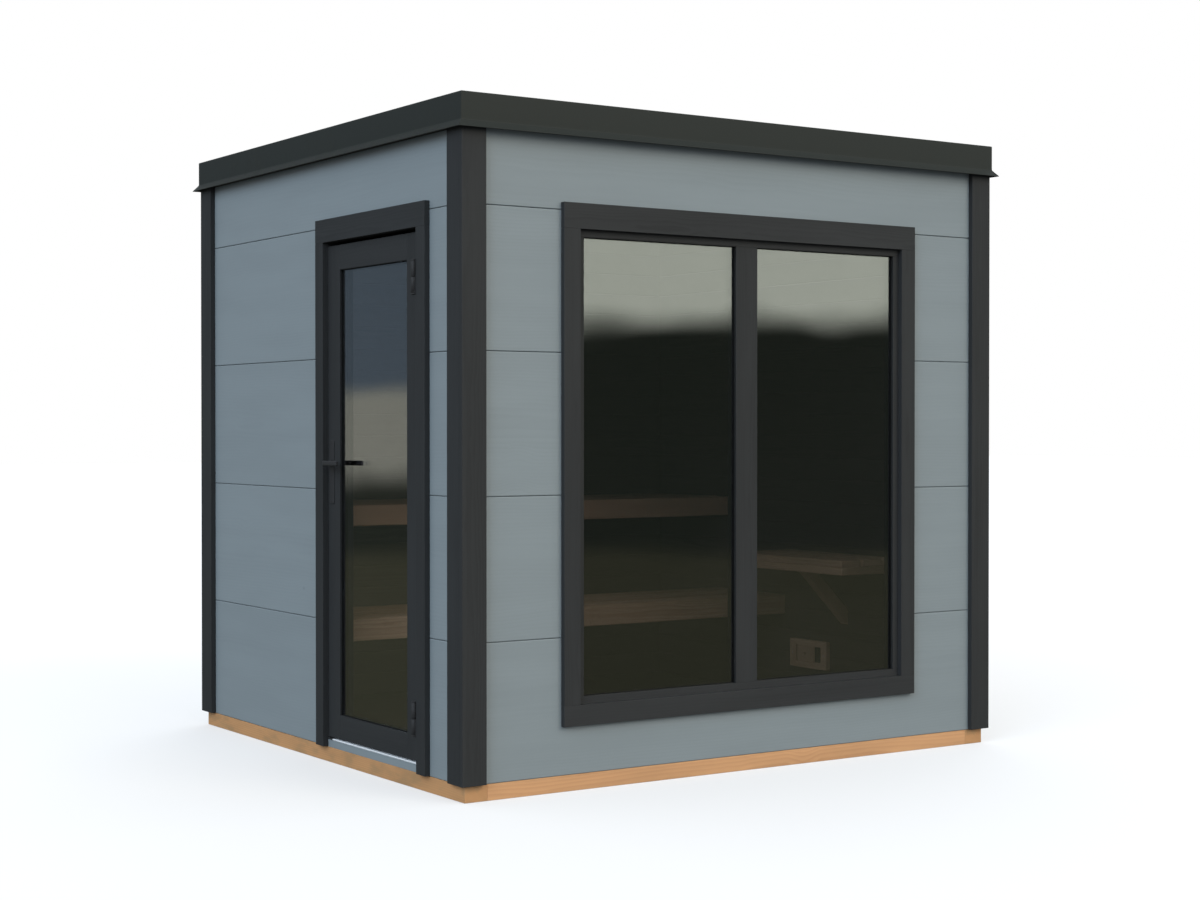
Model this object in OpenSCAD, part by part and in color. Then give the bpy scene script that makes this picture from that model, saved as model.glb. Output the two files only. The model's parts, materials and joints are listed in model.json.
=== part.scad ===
// Garden sauna house: a small flat-roofed timber cabin with a glazed door, a large fixed window,
// dark corner boards and trims, a sheet-metal roof edge, and benches inside.
// Millimetres. +Z is up. The window wall faces -Y and the door wall faces -X.
// The origin lies on the ground, in the middle of the plan.

/* [House] */
// Width between the outer faces of the two side walls
house_w = 2416; // [2300:1:4000]
// Depth between the outer faces of the window wall and the back wall
house_d = 2214; // [2150:1:4000]
// Thickness of the insulated walls
wall_t = 114; // [100:1:160]
// Height of the walls above the base
wall_h = 2248; // [2200:1:2600]
// Height of the wooden base beams
base_h = 57; // [40:1:120]
// Width of the outer base beams
base_w = 90; // [45:1:110]
// Width of each floor joist
joist_w = 45; // [35:1:70]
// Number of floor joists
joist_count = 5; // [3:1:9]
// Thickness of the floor boards
floor_t = 28; // [18:1:29]

/* [Wall boards] */
// Height of the lowest wall board
first_board_h = 485; // [300:1:600]
// Height of each further wall board
board_h = 500; // [200:1:600]
// Width of the V-joint between two boards
joint_w = 6; // [3:0.5:12]
// Depth of the V-joint between two boards
joint_depth = 4; // [2:0.5:8]

/* [Corner boards] */
// Thickness of the corner boards and of the window and door trims
trim_t = 21; // [15:1:23]
// Gap between the base and the lower ends of corner boards and door trims
trim_lift = 2; // [0:1:20]
// Width of the corner boards on the window wall and the back wall
corner_face_w = 96; // [70:1:150]
// Width of the corner boards on the two side walls
corner_side_w = 84; // [60:1:150]

/* [Roof] */
// Thickness of the roof slab
roof_t = 104; // [80:1:200]
// Overhang of the roof slab past the wall faces
roof_overhang = 24; // [24:1:60]
// Thickness of the roof membrane
membrane_t = 5; // [2:1:10]
// Thickness of the folded edge flashing
flashing_t = 3; // [2:0.5:4]
// Width of the flashing's fold over the membrane
flashing_fold_w = 60; // [30:1:120]
// How far the drip edge flares out from the flashing's face
drip_out = 21; // [10:1:40]
// How far the drip edge drops over its flare
drip_drop = 25; // [10:1:40]
// Height of the drip edge's tip above the lower face of the roof slab
drip_rise = -8; // [-20:1:10]

/* [Window] */
// Distance of the window's centre line to the right of the wall's middle
window_shift = 3; // [-40:1:40]
// Height of the lower edge of the window trim above the ground
window_z = 230; // [150:1:400]
// Width over the window trims
window_w = 1642; // [1200:1:1750]
// Height over the window trims
window_h = 1838; // [1400:1:1900]
// Width of the side trims
window_side_trim_w = 69; // [50:1:120]
// Height of the top trim
window_top_trim_h = 91; // [50:1:120]
// Height of the bottom trim
window_bottom_trim_h = 73; // [50:1:120]
// Width of the window frame's bars that stays in sight inside the trims
window_frame_sight = 26; // [15:1:60]
// Width of the window frame's bars under the trims
window_frame_cover = 34; // [15:1:45]
// Depth of the window frame
window_frame_depth = 56; // [45:1:90]
// Width of the middle bar
mullion_w = 99; // [50:1:140]
// Depth from the frame's face to the glass
window_glass_recess = 14; // [5:1:20]
// Thickness of the insulating glass
glass_t = 24; // [6:1:28]

/* [Door] */
// Distance of the door's centre line from the outer face of the window wall
door_from_corner = 677; // [660:1:1000]
// Clear width between the door jambs
door_opening_w = 740; // [700:1:760]
// Height of the underside of the head jamb above the ground
door_head_z = 1984; // [1850:1:2050]
// Width of the side trims
door_side_trim_w = 65; // [50:1:100]
// Height of the top trim
door_top_trim_h = 88; // [50:1:120]
// Thickness of the jambs
jamb_t = 40; // [25:1:45]
// How far the stops stand in from the jambs at the sides
side_stop = 20; // [12:1:30]
// How far the stop hangs down from the head jamb
head_stop = 28; // [16:1:40]
// Clearance between the closed leaf and its stops
stop_gap = 5; // [5:0.5:10]
// Thickness of the stops
stop_t = 25; // [12:1:30]
// Height of the wall strip under the threshold
door_sill_h = 29; // [29:1:60]
// Thickness of the metal threshold
threshold_t = 6; // [3:1:12]
// How far the threshold stands out from the wall face
threshold_out = 3; // [0:1:12]
// Gap beside and under the door leaf
leaf_gap = 6; // [5:0.5:8]
// Gap over the door leaf
leaf_top_gap = 14; // [5:0.5:20]
// Thickness of the door leaf
leaf_t = 50; // [38:1:60]
// Width of the leaf's stiles
stile_w = 97; // [70:1:130]
// Height of the leaf's top rail
top_rail_h = 94; // [70:1:150]
// Height of the leaf's bottom rail
bottom_rail_h = 90; // [70:1:200]
// Depth from the leaf's face to its glass
door_glass_recess = 11; // [4:1:12]

/* [Hinges] */
// Radius of the hinge knuckles
knuckle_r = 9; // [7:0.5:9]
// Length of a whole hinge
hinge_h = 126; // [90:1:160]
// Distance of the hinge axis in front of the wall face
hinge_out = 23.5; // [16:0.5:24]
// Distance of the hinge axis from the leaf's edge
hinge_inset = 5; // [4:0.5:6]
// Thickness of the hinge plates
hinge_plate_t = 3; // [2:0.25:3.5]
// Depth of the hinge plates behind the wall face
hinge_plate_depth = 40; // [20:1:45]
// Radius of the hinge pin
hinge_pin_r = 3.5; // [2.5:0.5:5]
// Gap between the two knuckles
knuckle_gap = 1; // [0.5:0.5:3]
// Height of the lower hinge's middle above the leaf's lower edge
hinge_low = 154; // [100:1:400]
// Distance of the upper hinge's middle below the leaf's upper edge
hinge_high = 161; // [100:1:400]

/* [Handle] */
// Height of the lever's axis above the ground
handle_z = 1144; // [900:1:1250]
// Distance of the lever's axis from the leaf's edge
handle_inset = 35.5; // [30:0.5:50]
// Length of the handle plates
plate_h = 243; // [160:1:280]
// Width of the handle plates
plate_w = 34; // [26:1:44]
// Thickness of the handle plates
plate_t = 4; // [2:0.5:6]
// Height of the plate's upper end above the lever's axis
plate_up = 88; // [40:1:100]
// Length of the lever from its axis to its tip
lever_len = 121; // [90:1:150]
// Height of the lever
lever_h = 19; // [12:1:24]
// Thickness of the lever
lever_t = 11; // [8:1:14]
// Distance from the plate to the lever
lever_stand = 32; // [25:1:32]
// Radius of the lever's neck and spindle
neck_r = 8; // [6:0.5:9]
// Radius of the hole for the spindle through the stile
spindle_hole_r = 13; // [10:0.5:15]

/* [Benches] */
// Distance of the upper bench's front from the outer face of the window wall
upper_bench_front = 1530; // [1480:1:1700]
// Height of the upper bench's top above the ground
upper_bench_z = 958; // [850:1:1100]
// Distance of the lower bench's front from the outer face of the window wall
lower_bench_front = 1123; // [1100:1:1400]
// Height of the lower bench's top above the ground
lower_bench_z = 530; // [400:1:600]
// How far the lower bench runs in under the upper one
bench_overlap = 90; // [40:1:200]
// Height of a bench's front board
bench_front_h = 86; // [60:1:140]
// Thickness of the bench boards
bench_board_t = 28; // [20:1:40]
// Number of slats of the upper bench
upper_slats = 5; // [3:1:8]
// Number of slats of the lower bench
lower_slats = 4; // [3:1:8]
// Gap between two slats
slat_gap = 14; // [8:1:25]
// Width of the bearers across the slats
bearer_w = 45; // [30:1:70]
// Number of bearers under each wide bench
bearer_count = 4; // [2:1:6]

/* [Side bench] */
// Depth of the side bench from the right wall
side_bench_depth = 332; // [250:1:450]
// Distance of its front end from the outer face of the window wall
side_bench_front = 350; // [300:1:400]
// Length of the side bench
side_bench_len = 740; // [500:1:760]
// Height of its top above the ground
side_bench_z = 734; // [650:1:800]
// Thickness of its slats and its frame together
side_bench_t = 60; // [45:1:90]
// Width of the diagonal brace
brace_w = 45; // [30:1:70]
// Thickness of the diagonal brace
brace_t = 45; // [30:1:60]
// Reach of the brace along the wall and under the bench
brace_reach = 245; // [150:1:280]
// Number of slats of the side bench
side_slats = 3; // [2:1:5]

/* [Vent] */
// Distance of the vent's middle from the outer face of the window wall
vent_from_corner = 940; // [600:1:1200]
// Height of the vent's middle above the ground
vent_z = 280; // [200:1:500]
// Length of the vent frame
vent_len = 250; // [200:1:320]
// Height of the vent frame
vent_h = 123; // [100:1:160]
// Thickness of the vent frame
vent_t = 22; // [18:1:35]
// Length of the slider's track inside the frame
vent_track_len = 170; // [150:1:190]
// Height of the slider's track inside the frame
vent_track_h = 72; // [60:1:80]
// Length of the vent slider
slider_len = 108; // [90:1:120]
// Clearance round the vent slider
slider_gap = 5; // [5:0.5:8]
// Thickness of the vent slider
slider_t = 12; // [8:1:12]
// Thickness of the slider's tongues
tongue_t = 4; // [3:0.5:6]
// How far each tongue reaches into its groove in the frame
tongue_reach = 6; // [3:0.5:10]
// Running clearance of the tongues in their grooves
tongue_play = 0.3; // [0.3:0.1:1.5]
// Length of the hole through the wall
vent_hole_len = 70; // [40:1:80]
// Height of the hole through the wall
vent_hole_h = 56; // [30:1:60]

/* [Hidden] */

wall_colour = "#84929a";
dark_colour = "#37393a";
base_colour = "#c09063";
bench_colour = "#b08a5c";
glass_colour = [0.20, 0.23, 0.24, 0.55];
metal_colour = "#c9cccd";
tiny = 0.1;

// Outer faces, inner faces and levels
left_x = -house_w / 2;
right_x = house_w / 2;
front_y = -house_d / 2;
back_y = house_d / 2;
in_left = left_x + wall_t;
in_right = right_x - wall_t;
in_front = front_y + wall_t;
in_back = back_y - wall_t;
roof_z = base_h + wall_h;
floor_z = base_h + floor_t;
trim_z = base_h + trim_lift;

// Window
window_x0 = window_shift - window_w / 2;
window_x1 = window_shift + window_w / 2;
window_z1 = window_z + window_h;
sight_x0 = window_x0 + window_side_trim_w;
sight_x1 = window_x1 - window_side_trim_w;
sight_z0 = window_z + window_bottom_trim_h;
sight_z1 = window_z1 - window_top_trim_h;
opening_x0 = sight_x0 - window_frame_cover;
opening_x1 = sight_x1 + window_frame_cover;
opening_z0 = sight_z0 - window_frame_cover;
opening_z1 = sight_z1 + window_frame_cover;
pane_x0 = sight_x0 + window_frame_sight;
pane_x1 = sight_x1 - window_frame_sight;
pane_z0 = sight_z0 + window_frame_sight;
pane_z1 = sight_z1 - window_frame_sight;
window_frame_y1 = front_y + window_frame_depth;
window_glass_y0 = front_y + window_glass_recess;

// Door
door_y = front_y + door_from_corner;
door_y0 = door_y - door_opening_w / 2;
door_y1 = door_y + door_opening_w / 2;
door_sill_z = base_h + door_sill_h;
threshold_z = door_sill_z + threshold_t;
jamb_top_z = door_head_z + jamb_t;
leaf_y0 = door_y0 + leaf_gap;
leaf_y1 = door_y1 - leaf_gap;
leaf_z0 = threshold_z + leaf_gap;
leaf_z1 = door_head_z - leaf_top_gap;
leaf_x1 = left_x + leaf_t;
stop_x = leaf_x1 + stop_gap;
door_pane_y0 = leaf_y0 + stile_w;
door_pane_y1 = leaf_y1 - stile_w;
door_pane_z0 = leaf_z0 + bottom_rail_h;
door_pane_z1 = leaf_z1 - top_rail_h;
door_glass_x0 = left_x + door_glass_recess;

// Hinges
hinge_x = left_x - hinge_out;
hinge_y = leaf_y0 + hinge_inset;
hinge_levels = [leaf_z0 + hinge_low, leaf_z1 - hinge_high];
knuckle_h = (hinge_h - knuckle_gap) / 2;
pin_play = 0.1;
pin_len = knuckle_h * 0.8;

// Handle
handle_y = leaf_y1 - handle_inset;
plate_z1 = handle_z + plate_up;
plate_z0 = plate_z1 - plate_h;
plate_corner_r = 6;
outer_plate_x = left_x - plate_t;
inner_plate_x = leaf_x1 + plate_t;
outer_lever_x = outer_plate_x - lever_stand;
inner_lever_x = inner_plate_x + lever_stand;

// Benches
upper_y0 = front_y + upper_bench_front;
lower_y0 = front_y + lower_bench_front;
lower_y1 = upper_y0 + bench_overlap;

// Side bench
side_x0 = in_right - side_bench_depth;
side_y0 = front_y + side_bench_front;
side_y1 = side_y0 + side_bench_len;
side_y = (side_y0 + side_y1) / 2;
side_under_z = side_bench_z - side_bench_t;

// Vent
vent_y = front_y + vent_from_corner;
track_y0 = vent_y - vent_track_len / 2;
track_y1 = vent_y + vent_track_len / 2;
slider_y1 = track_y1 - slider_gap;
slider_y0 = slider_y1 - slider_len;
slider_x = in_right - slider_gap - slider_t / 2;
vent_hole_y0 = track_y0 + 2 * slider_gap;

// A box between two corners
module span(low, high) {
    translate(low) cube(high - low);
}

// V-joint along X on a face that looks to -Y
module joint_line(length) {
    translate([-length / 2, 0, 0])
        rotate([90, 0, 90])
            linear_extrude(length)
                polygon([[-tiny, joint_w / 2], [joint_depth, 0], [-tiny, -joint_w / 2]]);
}

// The joints between the wall boards, round all four walls
module board_joints() {
    for (z = [base_h + first_board_h : board_h : roof_z - joint_w]) {
        translate([0, front_y, z]) joint_line(house_w + 2);
        translate([0, back_y, z]) rotate(180) joint_line(house_w + 2);
        translate([left_x, 0, z]) rotate(-90) joint_line(house_d + 2);
        translate([right_x, 0, z]) rotate(90) joint_line(house_d + 2);
    }
}

module wall_piece(low, high) {
    color(wall_colour)
        difference() {
            span(low, high);
            board_joints();
        }
}

// Base and floor
module base_rims() {
    color(base_colour)
        for (y = [front_y, back_y - base_w])
            span([left_x + base_w, y, 0], [right_x - base_w, y + base_w, base_h]);
}

module base_joists() {
    joist_step = (in_right - in_left - joist_w) / (joist_count - 1);
    color(base_colour) {
        for (x = [left_x, right_x - base_w])
            span([x, front_y, 0], [x + base_w, back_y, base_h]);
        for (i = [0 : joist_count - 1])
            translate([in_left + i * joist_step, front_y + base_w, 0])
                cube([joist_w, house_d - 2 * base_w, base_h]);
    }
}

module floor() {
    color(base_colour)
        span([in_left, in_front, base_h], [in_right, in_back, floor_z]);
}

// Walls
module front_wall_left() {
    wall_piece([left_x, front_y, base_h], [opening_x0, in_front, roof_z]);
}

module front_wall_right() {
    wall_piece([opening_x1, front_y, base_h], [right_x, in_front, roof_z]);
}

module front_wall_bottom() {
    wall_piece([opening_x0, front_y, base_h], [opening_x1, in_front, opening_z0]);
}

module front_wall_top() {
    wall_piece([opening_x0, front_y, opening_z1], [opening_x1, in_front, roof_z]);
}

module door_wall_front() {
    wall_piece([left_x, in_front, base_h], [in_left, door_y0 - jamb_t, roof_z]);
}

module door_wall_rear() {
    wall_piece([left_x, door_y1 + jamb_t, base_h], [in_left, in_back, roof_z]);
}

module door_wall_top() {
    wall_piece([left_x, door_y0 - jamb_t, jamb_top_z], [in_left, door_y1 + jamb_t, roof_z]);
}

module door_wall_sill() {
    wall_piece([left_x, door_y0, base_h], [in_left, door_y1, door_sill_z]);
}

module back_wall() {
    wall_piece([left_x, in_back, base_h], [right_x, back_y, roof_z]);
}

module right_wall() {
    color(wall_colour)
        difference() {
            span([in_right, in_front, base_h], [right_x, in_back, roof_z]);
            board_joints();
            translate([in_right - 1, vent_hole_y0, vent_z - vent_hole_h / 2])
                cube([wall_t + 2, vent_hole_len, vent_hole_h]);
        }
}

// Roof
module roof_deck() {
    color(bench_colour)
        span([left_x - roof_overhang, front_y - roof_overhang, roof_z],
             [right_x + roof_overhang, back_y + roof_overhang, roof_z + roof_t]);
}

module roof_membrane() {
    color(dark_colour)
        translate([left_x - roof_overhang, front_y - roof_overhang, roof_z + roof_t])
            cube([house_w + 2 * roof_overhang, house_d + 2 * roof_overhang, membrane_t]);
}

// Folded flashing along a wall of the given length that looks to -Y, mitred at both ends
module flashing(length) {
    face = -roof_overhang;
    under = roof_z + roof_t + membrane_t;
    tip_z = roof_z + drip_rise;
    slant = norm([drip_out, drip_drop]);
    lip = flashing_t * [drip_drop, -drip_out] / slant;
    tip = [face - flashing_t - drip_out, tip_z];
    inner_kink_z = tip_z + lip[1] + (drip_out + flashing_t - lip[0]) * drip_drop / drip_out;
    fold = face + flashing_fold_w;
    reach = -tip[0];
    color(dark_colour)
        intersection() {
            rotate([90, 0, 90])
                linear_extrude(length + 2 * reach + 2, center = true)
                    polygon([
                        [face - flashing_t, under + flashing_t],
                        [face - flashing_t, tip_z + drip_drop],
                        tip,
                        tip + lip,
                        [face, inner_kink_z],
                        [face, under],
                        [fold, under],
                        [fold, under + flashing_t],
                    ]);
            translate([0, 0, tip_z - drip_drop])
                linear_extrude(roof_t + 3 * drip_drop)
                    polygon([
                        [-length / 2 - reach, -reach],
                        [length / 2 + reach, -reach],
                        [length / 2 - fold, fold],
                        [-length / 2 + fold, fold],
                    ]);
        }
}

module fascia_front() {
    translate([0, front_y, 0]) flashing(house_w);
}

module fascia_back() {
    translate([0, back_y, 0]) rotate(180) flashing(house_w);
}

module fascia_left() {
    translate([left_x, 0, 0]) rotate(-90) flashing(house_d);
}

module fascia_right() {
    translate([right_x, 0, 0]) rotate(90) flashing(house_d);
}

// Corner boards: those on the window and back walls lap over the edges of those on the side walls
module face_corner_boards(y) {
    color(dark_colour)
        for (x = [left_x - trim_t, right_x + trim_t - corner_face_w])
            span([x, y, trim_z], [x + corner_face_w, y + trim_t, roof_z]);
}

module side_corner_boards(x) {
    color(dark_colour)
        for (y = [front_y, back_y - corner_side_w])
            span([x, y, trim_z], [x + trim_t, y + corner_side_w, roof_z]);
}

module corner_boards_front() {
    face_corner_boards(front_y - trim_t);
}

module corner_boards_back() {
    face_corner_boards(back_y);
}

module corner_boards_left() {
    side_corner_boards(left_x - trim_t);
}

module corner_boards_right() {
    side_corner_boards(right_x);
}

// Window
module window_trim_rails() {
    color(dark_colour) {
        span([window_x0, front_y - trim_t, window_z], [window_x1, front_y, sight_z0]);
        span([window_x0, front_y - trim_t, sight_z1], [window_x1, front_y, window_z1]);
    }
}

module window_trim_sides() {
    color(dark_colour) {
        span([window_x0, front_y - trim_t, sight_z0], [sight_x0, front_y, sight_z1]);
        span([sight_x1, front_y - trim_t, sight_z0], [window_x1, front_y, sight_z1]);
    }
}

module window_frame_rails() {
    color(dark_colour) {
        span([opening_x0, front_y, opening_z0], [opening_x1, window_frame_y1, pane_z0]);
        span([opening_x0, front_y, pane_z1], [opening_x1, window_frame_y1, opening_z1]);
    }
}

module window_frame_stiles() {
    mullion_x = window_shift - mullion_w / 2;
    color(dark_colour) {
        span([opening_x0, front_y, pane_z0], [pane_x0, window_frame_y1, pane_z1]);
        span([mullion_x, front_y, pane_z0], [mullion_x + mullion_w, window_frame_y1, pane_z1]);
        span([pane_x1, front_y, pane_z0], [opening_x1, window_frame_y1, pane_z1]);
    }
}

module window_glass() {
    pane_w = (pane_x1 - pane_x0 - mullion_w) / 2;
    color(glass_colour)
        for (x = [pane_x0, pane_x1 - pane_w])
            translate([x, window_glass_y0, pane_z0])
                cube([pane_w, glass_t, pane_z1 - pane_z0]);
}

// Door frame
module door_trim_top() {
    color(dark_colour)
        span([left_x - trim_t, door_y0 - door_side_trim_w, door_head_z],
             [left_x, door_y1 + door_side_trim_w, door_head_z + door_top_trim_h]);
}

module door_trim_sides() {
    color(dark_colour)
        for (y = [door_y0 - door_side_trim_w, door_y1])
            span([left_x - trim_t, y, trim_z], [left_x, y + door_side_trim_w, door_head_z]);
}

module door_jambs() {
    color(dark_colour) {
        for (y = [door_y0 - jamb_t, door_y1])
            span([left_x, y, base_h], [in_left, y + jamb_t, jamb_top_z]);
        for (y = [door_y0 - tiny, door_y1 - side_stop])
            span([stop_x, y, threshold_z], [stop_x + stop_t, y + side_stop + tiny, door_head_z]);
    }
}

module door_head_jamb() {
    color(dark_colour) {
        span([left_x, door_y0, door_head_z], [in_left, door_y1, jamb_top_z]);
        span([stop_x, door_y0 + side_stop, door_head_z - head_stop],
             [stop_x + stop_t, door_y1 - side_stop, door_head_z + tiny]);
    }
}

module door_threshold() {
    color(metal_colour)
        span([left_x - threshold_out, door_y0, door_sill_z], [in_left, door_y1, threshold_z]);
}

// Door leaf
module door_stiles() {
    color(dark_colour) {
        span([left_x, leaf_y0, leaf_z0], [leaf_x1, door_pane_y0, leaf_z1]);
        difference() {
            span([left_x, door_pane_y1, leaf_z0], [leaf_x1, leaf_y1, leaf_z1]);
            translate([left_x - 1, handle_y, handle_z])
                rotate([0, 90, 0])
                    cylinder(r = spindle_hole_r, h = leaf_t + 2, $fn = 48);
        }
    }
}

module door_rails() {
    color(dark_colour) {
        span([left_x, door_pane_y0, leaf_z0], [leaf_x1, door_pane_y1, door_pane_z0]);
        span([left_x, door_pane_y0, door_pane_z1], [leaf_x1, door_pane_y1, leaf_z1]);
    }
}

module door_glass() {
    color(glass_colour)
        span([door_glass_x0, door_pane_y0, door_pane_z0],
             [door_glass_x0 + glass_t, door_pane_y1, door_pane_z1]);
}

// Hinges: the lower knuckle with its pin is on the frame, the upper knuckle is on the leaf
module hinge_frame_halves() {
    color(dark_colour)
        for (z = hinge_levels)
            translate([0, 0, z - hinge_h / 2]) {
                translate([hinge_x, hinge_y, 0]) cylinder(r = knuckle_r, h = knuckle_h, $fn = 48);
                translate([hinge_x, hinge_y, 0])
                    cylinder(r = hinge_pin_r, h = knuckle_h + knuckle_gap + pin_len, $fn = 48);
                translate([hinge_x, door_y0, 0])
                    cube([hinge_out + hinge_plate_depth, hinge_plate_t, knuckle_h]);
            }
}

module hinge_leaf_halves() {
    color(dark_colour)
        for (z = hinge_levels)
            translate([0, 0, z + hinge_h / 2 - knuckle_h])
                difference() {
                    union() {
                        translate([hinge_x, hinge_y, 0])
                            cylinder(r = knuckle_r, h = knuckle_h, $fn = 48);
                        translate([hinge_x, leaf_y0 - hinge_plate_t, 0])
                            cube([hinge_out + hinge_plate_depth, hinge_plate_t, knuckle_h]);
                    }
                    translate([hinge_x, hinge_y, -1])
                        cylinder(r = hinge_pin_r + pin_play, h = pin_len + 2, $fn = 48);
                }
}

// Handle
module handle_plate(x) {
    straight_w = plate_w - 2 * plate_corner_r;
    straight_h = plate_h - 2 * plate_corner_r;
    translate([x, handle_y, 0])
        rotate([90, 0, 90])
            linear_extrude(plate_t)
                difference() {
                    translate([0, (plate_z0 + plate_z1) / 2]) {
                        square([plate_w, straight_h], center = true);
                        square([straight_w, plate_h], center = true);
                        for (side = [-1, 1], end = [-1, 1])
                            translate([side * straight_w / 2, end * straight_h / 2])
                                circle(r = plate_corner_r, $fn = 48);
                    }
                    translate([0, handle_z]) circle(r = neck_r + pin_play, $fn = 48);
                }
}

module handle_plates() {
    color(dark_colour) {
        handle_plate(outer_plate_x);
        handle_plate(leaf_x1);
    }
}

module lever_arm(x) {
    translate([x, handle_y, handle_z])
        rotate([0, 90, 0])
            cylinder(r = lever_h / 2, h = lever_t, $fn = 48);
    translate([x, handle_y - lever_len, handle_z - lever_h / 2])
        cube([lever_t, lever_len, lever_h]);
}

module door_lever() {
    color(dark_colour) {
        lever_arm(outer_lever_x - lever_t);
        lever_arm(inner_lever_x);
        translate([outer_lever_x - tiny, handle_y, handle_z])
            rotate([0, 90, 0])
                cylinder(r = neck_r, h = inner_lever_x - outer_lever_x + 2 * tiny, $fn = 48);
    }
}

// Benches
module wide_bench(y0, y1, top_z, slats) {
    slat_y0 = y0 + bench_board_t;
    slat_w = (y1 - slat_y0 - slats * slat_gap) / slats;
    under_z = top_z - bench_board_t;
    bearer_z = top_z - bench_front_h;
    bearer_step = (in_right - in_left - bearer_w) / (bearer_count - 1);
    color(bench_colour) {
        span([in_left, y0, bearer_z], [in_right, slat_y0, top_z]);
        for (i = [0 : slats - 1])
            translate([in_left, slat_y0 + slat_gap + i * (slat_w + slat_gap), under_z])
                cube([in_right - in_left, slat_w, bench_board_t]);
        for (i = [0 : bearer_count - 1])
            translate([in_left + i * bearer_step, slat_y0 - tiny, bearer_z])
                cube([bearer_w, y1 - slat_y0 + tiny, bench_front_h - bench_board_t + tiny]);
    }
}

module upper_bench() {
    wide_bench(upper_y0, in_back, upper_bench_z, upper_slats);
}

module lower_bench() {
    wide_bench(lower_y0, lower_y1, lower_bench_z, lower_slats);
}

module side_bench() {
    slat_w = (side_bench_depth - (side_slats - 1) * slat_gap) / side_slats;
    frame_h = side_bench_t - bench_board_t;
    color(bench_colour) {
        for (i = [0 : side_slats - 1])
            translate([side_x0 + i * (slat_w + slat_gap), side_y0, side_bench_z - bench_board_t])
                cube([slat_w, side_bench_len, bench_board_t]);
        for (y = [side_y0, side_y - bearer_w / 2, side_y1 - bearer_w])
            span([side_x0, y, side_under_z],
                 [in_right, y + bearer_w, side_under_z + frame_h + tiny]);
        translate([side_x0, side_y0, side_under_z])
            cube([bench_board_t, side_bench_len, frame_h + tiny]);
        translate([0, side_y + brace_w / 2, 0])
            rotate([90, 0, 0])
                linear_extrude(brace_w)
                    polygon([
                        [in_right, side_under_z - brace_reach],
                        [in_right, side_under_z - brace_reach + brace_t * sqrt(2)],
                        [in_right - brace_reach + brace_t * sqrt(2), side_under_z],
                        [in_right - brace_reach, side_under_z],
                    ]);
    }
}

// Vent
module vent_frame() {
    groove_t = tongue_t + 2 * tongue_play;
    groove_h = vent_track_h + 2 * (tongue_reach + tongue_play);
    color(bench_colour)
        difference() {
            translate([in_right - vent_t, vent_y - vent_len / 2, vent_z - vent_h / 2])
                cube([vent_t, vent_len, vent_h]);
            translate([in_right - vent_t - 1, track_y0, vent_z - vent_track_h / 2])
                cube([vent_t + 2, vent_track_len, vent_track_h]);
            translate([slider_x - groove_t / 2, track_y0, vent_z - groove_h / 2])
                cube([groove_t, vent_track_len, groove_h]);
        }
}

module vent_slider() {
    slider_h = vent_track_h - 2 * slider_gap;
    tongue_h = vent_track_h + 2 * tongue_reach;
    color(bench_colour) {
        translate([slider_x - slider_t / 2, slider_y0, vent_z - slider_h / 2])
            cube([slider_t, slider_len, slider_h]);
        translate([slider_x - tongue_t / 2, slider_y0, vent_z - tongue_h / 2])
            cube([tongue_t, slider_len, tongue_h]);
    }
}

base_rims();
base_joists();
floor();
front_wall_left();
front_wall_right();
front_wall_bottom();
front_wall_top();
door_wall_front();
door_wall_rear();
door_wall_top();
door_wall_sill();
back_wall();
right_wall();
roof_deck();
roof_membrane();
fascia_front();
fascia_back();
fascia_left();
fascia_right();
corner_boards_front();
corner_boards_back();
corner_boards_left();
corner_boards_right();
window_trim_rails();
window_trim_sides();
window_frame_rails();
window_frame_stiles();
window_glass();
door_trim_top();
door_trim_sides();
door_jambs();
door_head_jamb();
door_threshold();
door_stiles();
door_rails();
door_glass();
hinge_frame_halves();
hinge_leaf_halves();
handle_plates();
door_lever();
upper_bench();
lower_bench();
side_bench();
vent_frame();
vent_slider();
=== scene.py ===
"""Garden sauna house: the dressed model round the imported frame."""

import json
import math
import random

import bpy
import bmesh
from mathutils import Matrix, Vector


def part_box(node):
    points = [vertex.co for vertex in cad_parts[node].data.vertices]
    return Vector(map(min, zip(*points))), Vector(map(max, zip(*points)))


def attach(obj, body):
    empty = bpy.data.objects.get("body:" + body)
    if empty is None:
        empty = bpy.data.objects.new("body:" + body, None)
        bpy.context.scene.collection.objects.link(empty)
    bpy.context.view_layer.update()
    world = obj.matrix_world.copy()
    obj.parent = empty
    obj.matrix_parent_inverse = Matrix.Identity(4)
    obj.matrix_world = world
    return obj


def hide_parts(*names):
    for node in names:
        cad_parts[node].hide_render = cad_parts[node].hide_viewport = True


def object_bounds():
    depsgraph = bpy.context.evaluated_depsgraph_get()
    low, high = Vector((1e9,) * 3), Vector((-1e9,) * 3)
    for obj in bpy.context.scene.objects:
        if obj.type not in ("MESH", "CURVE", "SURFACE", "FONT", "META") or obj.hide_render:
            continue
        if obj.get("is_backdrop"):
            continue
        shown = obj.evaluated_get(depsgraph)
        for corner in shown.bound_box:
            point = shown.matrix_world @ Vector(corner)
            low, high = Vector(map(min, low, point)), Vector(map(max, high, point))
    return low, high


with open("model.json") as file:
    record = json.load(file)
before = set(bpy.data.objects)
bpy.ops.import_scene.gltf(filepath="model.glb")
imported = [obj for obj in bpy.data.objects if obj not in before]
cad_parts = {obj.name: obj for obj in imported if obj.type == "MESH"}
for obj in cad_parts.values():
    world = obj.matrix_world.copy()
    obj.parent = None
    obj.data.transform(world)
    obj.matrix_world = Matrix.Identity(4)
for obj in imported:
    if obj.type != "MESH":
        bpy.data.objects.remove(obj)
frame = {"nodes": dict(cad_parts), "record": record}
cad_low, cad_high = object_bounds()

X, Y, Z = 0, 1, 2
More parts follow.
